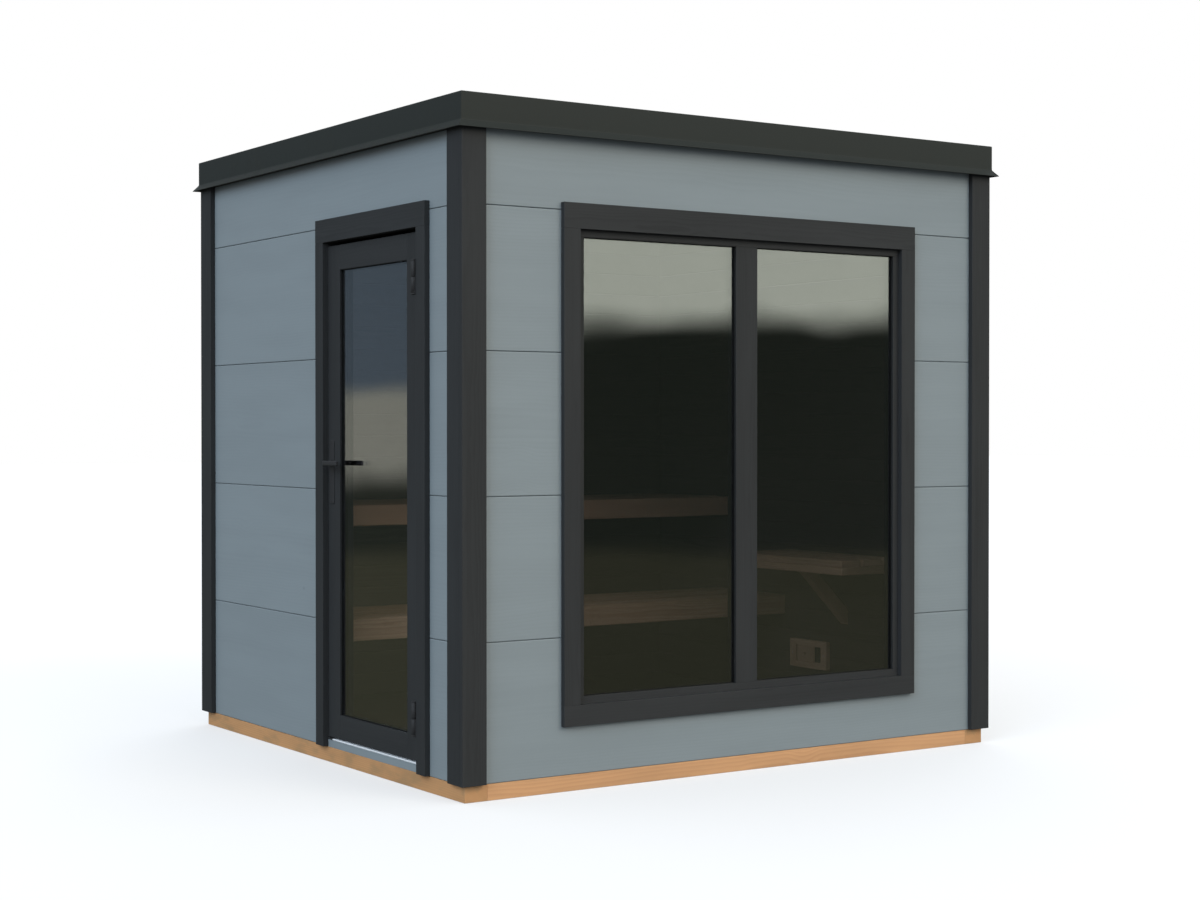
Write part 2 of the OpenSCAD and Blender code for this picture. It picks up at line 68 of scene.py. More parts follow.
# The lowest and the highest corner of every CAD node
B = {name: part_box(name) for name in frame["nodes"]}
LEFT, FRONT, BASE = B["front_wall_left"][0]
RIGHT, BACK, EAVES = B["back_wall"][1]
IN_LEFT, IN_FRONT, FLOOR_LOW = B["floor"][0]
IN_RIGHT, IN_BACK, FLOOR_TOP = B["floor"][1]


# ---------------------------------------------------------------- materials
class Shader:
    """The node tree of a material or world, made by short calls.

    Each value may be a number or another node's socket."""

    def __init__(self, owner):
        owner.use_nodes = True
        self.owner, self.tree = owner, owner.node_tree
        self.tree.nodes.clear()

    def node(self, kind, inputs=None, **props):
        made = self.tree.nodes.new("ShaderNode" + kind)
        for key, value in props.items():
            setattr(made, key, value)
        for key, value in (inputs or {}).items():
            if isinstance(value, bpy.types.NodeSocket):
                self.tree.links.new(value, made.inputs[key])
            else:
                made.inputs[key].default_value = value
        return made

    def math(self, operation, a, b=0.0):
        return self.node("Math", {0: a, 1: b}, operation=operation).outputs[0]

    def vector(self, operation, a, b):
        return self.node("VectorMath", {0: a, 1: b}, operation=operation).outputs[0]

    def step(self, value, start, end):
        """Rises smoothly from 0 at start to 1 at end."""
        return self.node("MapRange", {"Value": value, "From Min": start, "From Max": end},
                         interpolation_type="SMOOTHSTEP").outputs[0]

    def mix(self, factor, a, b, blend="MIX"):
        made = self.node("Mix", {0: factor, 6: a, 7: b}, data_type="RGBA", blend_type=blend)
        return made.outputs[2]

    def noise(self, vector, scale, detail=3.0, roughness=0.55):
        return self.node("TexNoise", {"Vector": vector, "Scale": scale, "Detail": detail,
                                      "Roughness": roughness}).outputs["Fac"]

    def attribute(self, name, output="Fac"):
        return self.node("Attribute", attribute_name=name).outputs[output]

    def place(self):
        return self.node("TexCoord").outputs["Object"]

    def bump(self, height, distance):
        return self.node("Bump", {"Height": height, "Distance": distance,
                                  "Strength": 1.0}).outputs["Normal"]

    def surface(self, shader, output="OutputMaterial"):
        """Ends the tree in a shader node, and gives what the tree belongs to."""
        self.node(output, {"Surface": shader.outputs[0]})
        return self.owner

    def finish(self, **inputs):
        """Ends the tree in a Principled shader with these inputs."""
        return self.surface(self.node("BsdfPrincipled", {key.replace("_", " "): value
                                                         for key, value in inputs.items()}))


def material(name):
    return Shader(bpy.data.materials.new(name))


def rgb(r, g, b):
    return (r, g, b, 1.0)


def shade(colour, factor):
    return rgb(*[c * factor for c in colour[:3]])


def timber(name, early, late, knot_colour, ring, knot_share, relief, fibre_amount=0.12,
           cloud_amount=0.12, board_spread=0.12, knot_size=0.07, rough=(0.5, 0.65),
           gloss_level=0.5, worn=None, worn_amount=0.3, stain=None):
    """Wood in board space: rings round a pith beside the board, fibres along it, and knots.

    Worn is the colour of patches along the board's edges, and stain of patches all over."""
    s = material(name)
    board = s.attribute("board", "Vector")
    seed = s.attribute("seed")
    rim = s.attribute("rim")
    u, v, w = s.node("SeparateXYZ", {0: board}).outputs[:3]

    def grained(along, across, detail):
        """Noise with its own scale along the board and across it."""
        return s.noise(s.vector("MULTIPLY", board, (along, across, across)), 1.0, detail)

    def sway(along, across, detail, size):
        return s.math("MULTIPLY", s.math("SUBTRACT", grained(along, across, detail), 0.5), size)

    # Year rings: the distance from a pith that wanders, in ring widths
    wave = sway(4.0, 26.0, 3.0, 0.014)
    v2 = s.math("ADD", v, s.math("ADD", sway(0.9, 2.5, 2.0, 0.07), wave))
    w2 = s.math("ADD", w, wave)
    radius = s.math("SQRT", s.math("ADD", s.math("MULTIPLY", v2, v2), s.math("MULTIPLY", w2, w2)))

    # Knots: the middles of some cells, with rings that bend round them
    cell = s.node("CombineXYZ", {0: s.math("MULTIPLY", u, 3.4), 1: s.math("MULTIPLY", v, 6.0),
                                 2: s.math("MULTIPLY", seed, 31.0)}).outputs[0]
    spots = s.node("TexVoronoi", {"Vector": cell, "Scale": 1.0})
    lot = s.node("SeparateColor", {0: spots.outputs["Color"]}).outputs[0]
    has_knot = s.math("LESS_THAN", lot, knot_share)
    far = spots.outputs["Distance"]
    swirl = s.math("MULTIPLY", s.step(far, 0.34, 0.03), has_knot)
    knot = s.math("MULTIPLY", s.step(far, knot_size, knot_size * 0.55), has_knot)

    # Late wood: slow to start and quick to end in each ring, fainter in places
    turn = s.math("FRACT", s.math("ADD", s.math("DIVIDE", radius, ring),
                                  s.math("MULTIPLY", swirl, 1.6)))
    late_wood = s.math("MULTIPLY", s.step(turn, 0.2, 0.9), s.step(turn, 1.0, 0.9))
    shown = s.step(grained(0.7, 7.0, 2.0), 0.34, 0.66)
    late_wood = s.math("MULTIPLY", late_wood, s.math("ADD", 0.3, s.math("MULTIPLY", shown, 0.7)))
    colour = s.mix(late_wood, early, late)

    # Brightness by fibre, by board and by cloud
    fibre = grained(6.0, 460.0, 3.0)
    cloud = s.step(grained(1.6, 11.0, 4.0), 0.3, 0.7)
    level = s.math("ADD", 1.0 - (fibre_amount + board_spread + cloud_amount) / 2,
                   s.math("MULTIPLY", fibre, fibre_amount))
    level = s.math("ADD", level, s.math("MULTIPLY", seed, board_spread))
    level = s.math("ADD", level, s.math("MULTIPLY", cloud, cloud_amount))
    grey = s.node("CombineColor", {0: level, 1: level, 2: level}).outputs[0]
    colour = s.mix(1.0, colour, grey, "MULTIPLY")

    if stain:
        smudge = s.step(grained(7.0, 22.0, 4.0), 0.44, 0.70)
        colour = s.mix(s.math("MULTIPLY", smudge, 0.5), colour, stain)
    colour = s.mix(s.math("MULTIPLY", knot, 0.8), colour, knot_colour)
    if worn:
        patch = s.step(grained(9.0, 30.0, 4.0), 0.45, 0.7)
        use = s.math("MULTIPLY", s.math("MULTIPLY", rim, patch), worn_amount)
        colour = s.mix(use, colour, worn)

    height = s.math("ADD", s.math("MULTIPLY", late_wood, 0.5), s.math("MULTIPLY", fibre, 0.6))
    height = s.math("SUBTRACT", height, s.math("MULTIPLY", knot, 0.4))
    gloss = s.math("ADD", rough[0], s.math("MULTIPLY", fibre, rough[1] - rough[0]))
    return s.finish(Base_Color=colour, Roughness=gloss, Specular_IOR_Level=gloss_level,
                    Normal=s.bump(height, relief))


def coated_metal(name, colour, dust, rough, dent, gloss_level):
    """Painted sheet: slow dents, fine specks and a little dust on it."""
    s = material(name)
    place = s.place()
    slow = s.noise(s.vector("MULTIPLY", place, (1.3, 1.3, 5.0)), 1.0, 2.0)
    fine = s.noise(place, 900.0, 2.0)
    dusty = s.step(s.noise(place, 7.0, 5.0, 0.65), 0.48, 0.75)
    tone = s.mix(s.math("MULTIPLY", dusty, 0.5), colour, dust)
    height = s.math("ADD", slow, s.math("MULTIPLY", fine, 0.1))
    gloss = s.math("ADD", rough, s.math("MULTIPLY", dusty, 0.12))
    return s.finish(Base_Color=tone, Roughness=gloss, Specular_IOR_Level=gloss_level,
                    Normal=s.bump(height, dent))


def brushed(name, colour, rough):
    """Bare metal with fine strokes: level ones, and ones that lie across X."""
    s = material(name)
    place = s.place()
    lines = s.noise(s.vector("MULTIPLY", place, (30.0, 30.0, 1500.0)), 1.0, 2.0)
    cross = s.noise(s.vector("MULTIPLY", place, (1500.0, 12.0, 60.0)), 1.0, 2.0)
    both = s.math("MULTIPLY", s.math("ADD", lines, cross), 0.5)
    tone = s.mix(both, shade(colour, 0.82), shade(colour, 1.1))
    gloss = s.math("ADD", rough, s.math("MULTIPLY", both, 0.18))
    return s.finish(Base_Color=tone, Roughness=gloss, Metallic=0.3,
                    Normal=s.bump(both, 0.0001))


def membrane(name):
    """Roofing felt with a fine mineral grain."""
    s = material(name)
    place = s.place()
    grain = s.node("TexVoronoi", {"Vector": place, "Scale": 420.0})
    lot = s.node("SeparateColor", {0: grain.outputs["Color"]}).outputs[0]
    stain = s.step(s.noise(place, 2.2, 5.0, 0.6), 0.35, 0.7)
    tone = s.mix(lot, rgb(0.030, 0.031, 0.033), rgb(0.085, 0.086, 0.088))
    tone = s.mix(s.math("MULTIPLY", stain, 0.4), tone, rgb(0.045, 0.044, 0.041))
    return s.finish(Base_Color=tone, Roughness=0.9,
                    Normal=s.bump(grain.outputs["Distance"], 0.0008))


def glass(name, tint, ior):
    """Glass pane: mirrors and bends for sight, and lets the light of lamps straight through."""
    s = material(name)
    ripple = s.bump(s.noise(s.place(), 2.4, 1.0), 0.0006)
    pane = s.node("BsdfPrincipled", {"Base Color": tint, "Roughness": 0.0, "IOR": ior,
                                     "Transmission Weight": 1.0, "Normal": ripple})
    through = s.node("BsdfTransparent", {"Color": tint})
    path = s.node("LightPath")
    lit = s.math("MAXIMUM", path.outputs["Is Shadow Ray"], path.outputs["Is Diffuse Ray"])
    return s.surface(s.node("MixShader", {0: lit, 1: pane.outputs[0], 2: through.outputs[0]}))


def rubber(name, colour, gloss_level):
    s = material(name)
    grain = s.noise(s.place(), 700.0, 2.0)
    tone = s.mix(grain, shade(colour, 0.7), shade(colour, 1.3))
    return s.finish(Base_Color=tone, Roughness=0.7, Specular_IOR_Level=gloss_level,
                    Normal=s.bump(grain, 0.0001))


WALL = rgb(0.222, 0.255, 0.266)
DARK = rgb(0.0345, 0.0352, 0.0355)
WORN_BASE = rgb(0.33, 0.19, 0.10)
M_WALL = timber("wall_paint", WALL, shade(WALL, 0.968), shade(WALL, 0.86), ring=0.011,
                fibre_amount=0.035, cloud_amount=0.05, board_spread=0.02, knot_share=0.2,
                knot_size=0.05, relief=0.00008, rough=(0.5, 0.62))
M_DARK = timber("dark_paint", DARK, shade(DARK, 0.88), shade(DARK, 0.8), ring=0.007,
                board_spread=0.06, knot_share=0.1, relief=0.0001, rough=(0.5, 0.6),
                gloss_level=0.12, worn=rgb(0.075, 0.07, 0.066), worn_amount=0.25)
M_BASE = timber("base_timber", rgb(0.545, 0.287, 0.132), rgb(0.485, 0.239, 0.105),
                rgb(0.14, 0.055, 0.02), ring=0.009, cloud_amount=0.2, board_spread=0.2,
                knot_share=0.42, knot_size=0.08, relief=0.00015, worn=WORN_BASE)
M_JOIST = timber("joist_timber", rgb(0.558, 0.288, 0.121), rgb(0.495, 0.245, 0.098),
                 rgb(0.15, 0.06, 0.025), ring=0.006, cloud_amount=0.16, knot_share=0.6,
                 knot_size=0.06, relief=0.00015, worn=WORN_BASE, stain=rgb(0.29, 0.19, 0.092))
M_BENCH = timber("bench_timber", rgb(0.60, 0.41, 0.26), rgb(0.48, 0.295, 0.175),
                 rgb(0.17, 0.085, 0.04), ring=0.007, knot_share=0.12, relief=0.00012)
M_LINING = timber("lining_timber", rgb(0.062, 0.048, 0.040), rgb(0.042, 0.031, 0.026),
                  rgb(0.02, 0.015, 0.012), ring=0.006, knot_share=0.2, relief=0.0002,
                  rough=(0.5, 0.7))
M_FLASHING = coated_metal("flashing_paint", rgb(0.0265, 0.0295, 0.0262),
                          rgb(0.032, 0.034, 0.030), 0.5, dent=0.0001, gloss_level=0.12)
M_FITTING = coated_metal("fitting_paint", rgb(0.033, 0.032, 0.032), rgb(0.045, 0.043, 0.041),
                         0.55, dent=0.00005, gloss_level=0.2)
M_BARE = brushed("bare_metal", rgb(0.92, 0.94, 0.96), 0.36)
M_MEMBRANE = membrane("roof_felt")
M_WINDOW_GLASS = (glass("window_glass_outer", rgb(0.70, 0.69, 0.70), 2.25),
                  glass("window_glass_inner", rgb(0.79, 0.78, 0.79), 1.45))
M_DOOR_GLASS = (glass("door_glass_outer", rgb(0.93, 0.92, 0.93), 2.0),
                glass("door_glass_inner", rgb(0.96, 0.96, 0.96), 1.45))
M_RUBBER = rubber("seal_rubber", rgb(0.005, 0.005, 0.005), 0.15)
# Near-black sheet over the pane reveals: painted shade standing in for their deep shadow
M_REVEAL_SHADE = rubber("reveal_painted_shade", rgb(0.012, 0.012, 0.012), 0.5)


# ---------------------------------------------------------------- solids
def beside(centre, axis, along, p, q):
    """The point further along an axis from a centre, and (p, q) to the side of it."""
    point = Vector(centre)
    point[axis] += along
    point[(axis + 1) % 3] += p
    point[(axis + 2) % 3] += q
    return point


class Piece:
    """Closed solids gathered in one mesh. Each point keeps its place in its own board."""

    def __init__(self, name, slot, materials, replaces=(), body="house"):
        self.name, self.slot, self.materials = name, slot, materials
        self.replaces, self.body = replaces, body
        self.verts, self.faces, self.looks = [], [], []
        self.board, self.seed, self.rim = [], [], []
        self.lots = random.Random(name)

    def solid(self, verts, faces, smooth, mat=0, grain=X, rim=None, middle=None, seed=None):
        """Adds one solid; grain is the axis that its fibres follow, and rim marks its edges.

        The seed picks its tone and its place in the wood, measured from its middle."""
        low = Vector([min(p[i] for p in verts) for i in range(3)])
        high = Vector([max(p[i] for p in verts) for i in range(3)])
        middle = (low + high) / 2 if middle is None else middle
        seed = self.lots.random() if seed is None else seed
        own = random.Random(seed)
        offset = (own.uniform(0, 60), own.uniform(-0.06, 0.06), own.uniform(0.03, 0.09))
        wide, thin = [i for i in range(3) if i != grain]
        if high[wide] - low[wide] < high[thin] - low[thin]:
            wide, thin = thin, wide
        start = len(self.verts)
        self.verts += [tuple(p) for p in verts]
        self.faces += [[start + i for i in face] for face in faces]
        self.looks += [(flag, mat) for flag in smooth]
        self.board += [(p[grain] - middle[grain] + offset[0], p[wide] - middle[wide] + offset[1],
                        p[thin] - middle[thin] + offset[2]) for p in verts]
        self.seed += [seed] * len(verts)
        self.rim += rim or [0.0] * len(verts)

    def box(self, low, high, r, mat=0, grain=X, **more):
        """A box with rounded edges, two facets to each edge."""
        steps = [(low[i], low[i] + r, high[i] - r, high[i]) for i in range(3)]
        index, verts, rim = {}, [], []
        for i in range(4):
            for j in range(4):
                for k in range(4):
                    if not {0, 3} & {i, j, k}:
                        continue
                    p = Vector([steps[X][i], steps[Y][j], steps[Z][k]])
                    core = Vector([min(max(p[n], low[n] + r), high[n] - r) for n in range(3)])
                    away = p - core
                    index[i, j, k] = len(verts)
                    rim.append(1.0 if sum(abs(c) > r / 2 for c in away) > 1 else 0.0)
                    verts.append(core + away.normalized() * r)
        faces, smooth = [], []
        for axis in range(3):
            for end in (0, 3):
                for a in range(3):
                    for b in range(3):
                        face = []
                        for da, db in ((0, 0), (1, 0), (1, 1), (0, 1)):
                            key = [0, 0, 0]
                            key[axis] = end
                            key[(axis + 1) % 3] = a + da
                            key[(axis + 2) % 3] = b + db
                            face.append(index[tuple(key)])
                        faces.append(face if end else face[::-1])
                        smooth.append(not (a == 1 and b == 1))
        self.solid(verts, faces, smooth, mat, grain, rim, **more)

    def loft(self, rows, smooth=False, mat=0, grain=X, **more):
        """A solid through rows of equally many points, closed with a flat face at both ends."""
        n, verts = len(rows[0]), [point for row in rows for point in row]
        faces = [[r * n + i, r * n + (i + 1) % n, (r + 1) * n + (i + 1) % n, (r + 1) * n + i]
                 for r in range(len(rows) - 1) for i in range(n)]
        flags = [smooth] * len(faces) + [False] * 2
        faces += [list(range(n))[::-1], list(range(len(verts) - n, len(verts)))]
        self.solid(verts, faces, flags, mat, grain, **more)

    def prism(self, section, axis, a, b, mat=0, grain=None, **more):
        """A section, as points of (second, third) axis after axis, run from a to b."""
        self.loft([[beside((0, 0, 0), axis, end, p, q) for p, q in section] for end in (a, b)],
                  False, mat, axis if grain is None else grain, **more)

    def turned(self, profile, centre, axis, n):
        """A profile of (place along axis, radius), from tip to tip, turned in n steps."""
        verts, rows = [], []
        for along, r in profile:
            if r < 1e-6:
                rows.append([len(verts)] * n)
                points = [(0.0, 0.0)]
            else:
                rows.append(list(range(len(verts), len(verts) + n)))
                points = [(r * math.cos(2 * math.pi * k / n), r * math.sin(2 * math.pi * k / n))
                          for k in range(n)]
            verts += [beside(centre, axis, along, p, q) for p, q in points]
        faces = []
        for low, high in zip(rows, rows[1:]):
            for k in range(n):
                m = (k + 1) % n
                face = []
                for i in (low[k], low[m], high[m], high[k]):
                    if i not in face:
                        face.append(i)
                if len(face) > 2:
                    faces.append(face)
        self.solid(verts, faces, [True] * len(faces), grain=axis)

    def swept(self, path, section, up, grain):
        """A closed section of (side, up) points carried along a path of (point, scale)."""
        rows = []
        for i, (point, scale) in enumerate(path):
            before, after = path[max(i - 1, 0)][0], path[min(i + 1, len(path) - 1)][0]
            along = (Vector(after) - Vector(before)).normalized()
            side = along.cross(up).normalized()
            rows.append([Vector(point) + side * a * scale + up * b * scale for a, b in section])
        self.loft(rows, True, grain=grain)

    def screw(self, centre, axis, out, r, mat=0):
        """A screw head with a hexagonal socket; out is +1 or -1 along the axis."""
        steps, head, deep = 24, 0.0009 * out, -0.0006 * out
        rows = []
        for along, radius in ((-0.001 * out, r), (head * 0.4, r), (head, r * 0.8),
                              (head, r * 0.45), (deep, r * 0.42)):
            row = []
            for k in range(steps):
                angle, reach = 2 * math.pi * k / steps, radius
                if radius < r * 0.5:
                    reach = radius * 0.87 / math.cos((angle + math.pi / 6) % (math.pi / 3)
                                                     - math.pi / 6)
                row.append(beside(centre, axis, along, reach * math.cos(angle),
                                  reach * math.sin(angle)))
            rows.append(row)
        self.loft(rows, False, mat)

    def make(self):
        mesh = bpy.data.meshes.new(self.name)
        mesh.from_pydata(self.verts, [], self.faces)
        for polygon, (smooth, mat) in zip(mesh.polygons, self.looks):
            polygon.use_smooth = smooth
            polygon.material_index = mat
        for name, kind, values in (("board", "FLOAT_VECTOR", self.board),
                                   ("seed", "FLOAT", self.seed), ("rim", "FLOAT", self.rim)):
            layer = mesh.attributes.new(name, kind, "POINT")
            if kind == "FLOAT":
                layer.data.foreach_set("value", values)
            else:
                layer.data.foreach_set("vector", [c for p in values for c in p])
        work = bmesh.new()
        work.from_mesh(mesh)
        bmesh.ops.recalc_face_normals(work, faces=work.faces)
        for edge in work.edges:
            edge.smooth = all(face.smooth for face in edge.link_faces)
        work.to_mesh(mesh)
        work.free()
        for look in self.materials:
            mesh.materials.append(look)
        made = bpy.data.objects.new(self.name, mesh)
        bpy.context.scene.collection.objects.link(made)
        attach(made, self.body)
        if self.replaces:
            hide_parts(*self.replaces)


def islands(node):
    """Boxes (low, high) of the separate solids of a CAD node, in order of x, y and z."""
    grid = 20000  # steps to the metre
    mesh = frame["nodes"][node].data
    keys = [tuple(round(c * grid) for c in v.co) for v in mesh.vertices]
    parent = {key: key for key in keys}

    def root(key):
        while parent[key] != key:
            key = parent[key]
        return key

    for polygon in mesh.polygons:
        first = root(keys[polygon.vertices[0]])
        for i in polygon.vertices[1:]:
            parent[root(keys[i])] = first
    groups = {}
    for key in parent:
        groups.setdefault(root(key), []).append(key)
    boxes = []
    for members in groups.values():
        low = Vector([min(k[i] for k in members) / grid for i in range(3)])
        high = Vector([max(k[i] for k in members) / grid for i in range(3)])
        boxes.append((low, high))
    return sorted(boxes, key=lambda box: tuple(round(c, 3) for c in box[0]))


EASED = 0.0009


def boards(piece, node, grain, r=EASED, **more):
    """One board with eased edges in place of each solid of a CAD node."""
    for low, high in islands(node):
        piece.box(low, high, r, grain=grain, **more)


def courses(piece, run_axis, stack_axis, run, levels, shown, hidden, lip, holes=(), mat=0,
            slit=0.0, slit_depth=0.0):
    """Boards along run_axis, stacked at levels, with rounded lips on their shown face.

    A hole is (run from, run to, stack from, stack to). A slit is half of the narrow gap that
    stays open between two boards below their lips."""
    bulge = 0.3  # how near a lip's middle comes to the board's corner, in lips
    depth_axis = 3 - run_axis - stack_axis
    back = math.copysign(1.0, hidden - shown)
    cuts = {run[0], run[1]}
    for hole in holes:
        cuts |= {c for c in hole[:2] if run[0] < c < run[1]}
    cuts = sorted(cuts)
    for low, high in zip(levels, levels[1:]):
        seed = piece.lots.random()
        middle = Vector((0, 0, 0))
        middle[stack_axis], middle[depth_axis] = (low + high) / 2, (shown + hidden) / 2
        for a, b in zip(cuts, cuts[1:]):
            parts = [(low, high)]
            for hole in holes:
                if hole[0] < (a + b) / 2 < hole[1]:
                    parts = [p for lo, hi in parts
                             for p in ((lo, min(hi, hole[2])), (max(lo, hole[3]), hi))
                             if p[1] - p[0] > 1e-5]
            for lo, hi in parts:
                section = []
                for level, way, lipped in ((lo, 1, lo == low), (hi, -1, hi == high)):
                    points = [(level, hidden)]
                    if lipped and lip:
                        edge, bottom = level + way * slit, shown + back * slit_depth
                        if slit:
                            points += [(level, bottom), (edge, bottom)]
                        points += [(edge, shown + back * lip),
                                   (edge + way * lip * bulge, shown + back * lip * bulge),
                                   (edge + way * lip, shown)]
                    else:
                        points.append((level, shown))
                    section += points if way > 0 else points[::-1]
                if (run_axis + 1) % 3 != stack_axis:
                    section = [(q, p) for p, q in section]
                piece.prism(section, run_axis, a, b, mat, middle=middle, seed=seed)


def even(low, high, width):
    """Levels from low to high, evenly apart and about a width from each other."""
    count = max(1, round((high - low) / width))
    return [low + (high - low) * i / count for i in range(count + 1)]


# ---------------------------------------------------------------- base and floor
BEAM_EDGE = 0.0014
FLOOR_BOARD, FLOOR_LIP = 0.12, 0.002
base = Piece("base_beams", "base_timber", [M_BASE, M_JOIST], ["base_rims", "base_joists"])
boards(base, "base_rims", X, BEAM_EDGE, seed=0.9)
boards(base, "base_joists", Y, BEAM_EDGE, mat=1, seed=0.15)
base.make()

floor = Piece("floor_boards", "lining_timber", [M_LINING], ["floor"])
courses(floor, X, Y, (IN_LEFT, IN_RIGHT), even(IN_FRONT, IN_BACK, FLOOR_BOARD), FLOOR_TOP,
        FLOOR_LOW, FLOOR_LIP)
floor.make()


# ---------------------------------------------------------------- walls
FIRST_BOARD, WALL_BOARD, LINING_BOARD = 0.485, 0.5, 0.096
SKIN, LINING = 0.021, 0.014
WALL_LIP, LINING_LIP = 0.0028, 0.003
WALL_SLIT, WALL_SLIT_DEPTH = 0.00085, 0.010
VENT_HOLE = (-0.242, -0.172, 0.252, 0.308)
board_levels = [BASE, BASE + FIRST_BOARD]
while board_levels[-1] + WALL_BOARD < EAVES - WALL_LIP:
    board_levels.append(board_levels[-1] + WALL_BOARD)
board_levels.append(EAVES)
lining_levels = even(FLOOR_TOP, EAVES, LINING_BOARD)


def wall(name, nodes, run_axis, outer, inner, outer_run, core_run, inner_run, holes):
    """A wall of outer boards, a core and inner boards, with holes right through it."""
    made = Piece(name, "wall_board", [M_WALL, M_LINING], nodes)
    inward = math.copysign(1.0, inner - outer)
    skin, lining = outer + inward * SKIN, inner - inward * LINING
    courses(made, run_axis, Z, outer_run, board_levels, outer, skin, WALL_LIP, holes,
            slit=WALL_SLIT, slit_depth=WALL_SLIT_DEPTH)
    courses(made, run_axis, Z, core_run, [BASE, EAVES], skin, lining, 0.0, holes, 1)
    courses(made, run_axis, Z, inner_run, lining_levels, inner, lining, LINING_LIP, holes, 1)
    made.make()


def gap(node, axis):
    """A hole through a wall as large as a node's box."""
    low, high = B[node]
    return (low[axis], high[axis], low[Z], high[Z])


long_runs = ((LEFT, RIGHT), (LEFT + SKIN, RIGHT - SKIN), (IN_LEFT, IN_RIGHT))
side_runs = ((FRONT + SKIN, BACK - SKIN), (IN_FRONT - LINING, IN_BACK + LINING),
             (IN_FRONT, IN_BACK))
wall("window_wall", ["front_wall_left", "front_wall_right", "front_wall_bottom", "front_wall_top"],
     X, FRONT, IN_FRONT, *long_runs, [gap("window_frame_rails", X)])
wall("door_wall", ["door_wall_front", "door_wall_rear", "door_wall_top"], Y, LEFT, IN_LEFT,
     *side_runs, [gap("door_jambs", Y)])
wall("back_wall_boards", ["back_wall"], X, BACK, IN_BACK, *long_runs, [])
wall("vent_wall", ["right_wall"], Y, RIGHT, IN_RIGHT, *side_runs, [VENT_HOLE])

sill = Piece("door_sill_board", "wall_board", [M_WALL], ["door_wall_sill"])
sill.box(*B["door_wall_sill"], 0.0015, grain=Y)
sill.make()


# ---------------------------------------------------------------- roof
deck_low, deck_high = B["roof_deck"]
ceiling_top = deck_low.z + LINING
deck = Piece("roof_slab", "lining_timber", [M_LINING], ["roof_deck"])
deck.box(deck_low + Vector((0, 0, LINING)), deck_high, 0.002)
courses(deck, X, Y, (IN_LEFT, IN_RIGHT), even(IN_FRONT, IN_BACK, LINING_BOARD), deck_low.z,
        ceiling_top, LINING_LIP)
for low, high in (((deck_low.x, deck_low.y), (deck_high.x, IN_FRONT)),
                  ((deck_low.x, IN_BACK), (deck_high.x, deck_high.y)),
                  ((deck_low.x, IN_FRONT), (IN_LEFT, IN_BACK)),
                  ((IN_RIGHT, IN_FRONT), (deck_high.x, IN_BACK))):
    deck.box(Vector((*low, deck_low.z)), Vector((*high, ceiling_top)), 0.001)
deck.make()

# Felt sheets: a raised lap with a bead of bitumen along it, every SHEET from the front
SHEET, LAP, LAP_END = 0.93, 0.09, 0.05
felt_low, felt_high = B["roof_membrane"]
felt = Piece("roof_felt_sheets", "membrane", [M_MEMBRANE], ["roof_membrane"])
felt.box(felt_low, felt_high, 0.001)
lap_x0, lap_x1, felt_z = felt_low.x + LAP_END, felt_high.x - LAP_END, felt_high.z
lap_y = felt_low.y + SHEET
while lap_y < felt_high.y - LAP:
    felt.box(Vector((lap_x0, lap_y, felt_z - 0.001)),
             Vector((lap_x1, lap_y + LAP, felt_z + 0.0018)), 0.0012)
    felt.prism([(lap_y - 0.003, felt_z - 0.0005), (lap_y + 0.001, felt_z - 0.0005),
                (lap_y + 0.001, felt_z + 0.0014)], X, lap_x0, lap_x1)
    lap_y += SHEET
felt.make()


def bent(points, radius, steps=4):
    """A line through points, with its inner corners rounded."""
    out = [points[0]]
    for before, corner, after in zip(points, points[1:], points[2:]):
        before, corner, after = Vector(before), Vector(corner), Vector(after)
        a = corner + (before - corner).normalized() * radius
        b = corner + (after - corner).normalized() * radius
        for i in range(steps + 1):
            t = i / steps
            out.append(tuple(a * (1 - t) ** 2 + corner * 2 * t * (1 - t) + b * t * t))
    return out + [points[-1]]


def thick(line, t):
    """The inner side of a sheet of thickness t whose outer side is the line, run backwards."""
    inner = []
    for i, point in enumerate(line):
        before, after = Vector(line[max(i - 1, 0)]), Vector(line[min(i + 1, len(line) - 1)])
        along = (after - before).normalized()
        inner.append((point[0] + along[1] * t, point[1] - along[0] * t))
    return inner[::-1]


# Flashing: a sheet folded over the roof's edge, flared to a drip; its section is given as
# (distance out from the wall, height) and mitred round the four corners
DRIP_OUT, DRIP_DROP, SHEET_T, FOLD_R = 0.021, 0.025, 0.003, 0.004
flash_low, flash_high = B["fascia_front"]
fold_d, tip_d = FRONT - flash_high.y, FRONT - flash_low.y
face_d = tip_d - DRIP_OUT
outer_line = bent([(fold_d, flash_high.z), (face_d, flash_high.z),
                   (face_d, flash_low.z + DRIP_DROP), (tip_d - 0.001, flash_low.z + 0.0012)],
                  FOLD_R)
tip = [(tip_d, flash_low.z + 0.0004), (tip_d - 0.0012, flash_low.z)]
section = outer_line + tip + thick(outer_line, SHEET_T)
flashing = Piece("roof_flashing", "flashing", [M_FLASHING],
                 ["fascia_front", "fascia_back", "fascia_left", "fascia_right"])
corners = ((LEFT, FRONT, -1, -1), (RIGHT, FRONT, 1, -1), (RIGHT, BACK, 1, 1), (LEFT, BACK, -1, 1))
for ends in zip(corners, corners[1:] + corners[:1]):
    flashing.loft([[Vector((x + out_x * d, y + out_y * d, z)) for d, z in section]
                   for x, y, out_x, out_y in ends], True)
flashing.make()


# ---------------------------------------------------------------- corner boards and window
for wall_side in ("front", "back", "left", "right"):
    trims = Piece(wall_side + "_corner_trims", "dark_trim", [M_DARK],
                  ["corner_boards_" + wall_side])
    boards(trims, "corner_boards_" + wall_side, Z)
    trims.make()

casing = Piece("window_casing", "dark_trim", [M_DARK], ["window_trim_rails", "window_trim_sides"])
boards(casing, "window_trim_rails", X)
boards(casing, "window_trim_sides", Z)
casing.make()

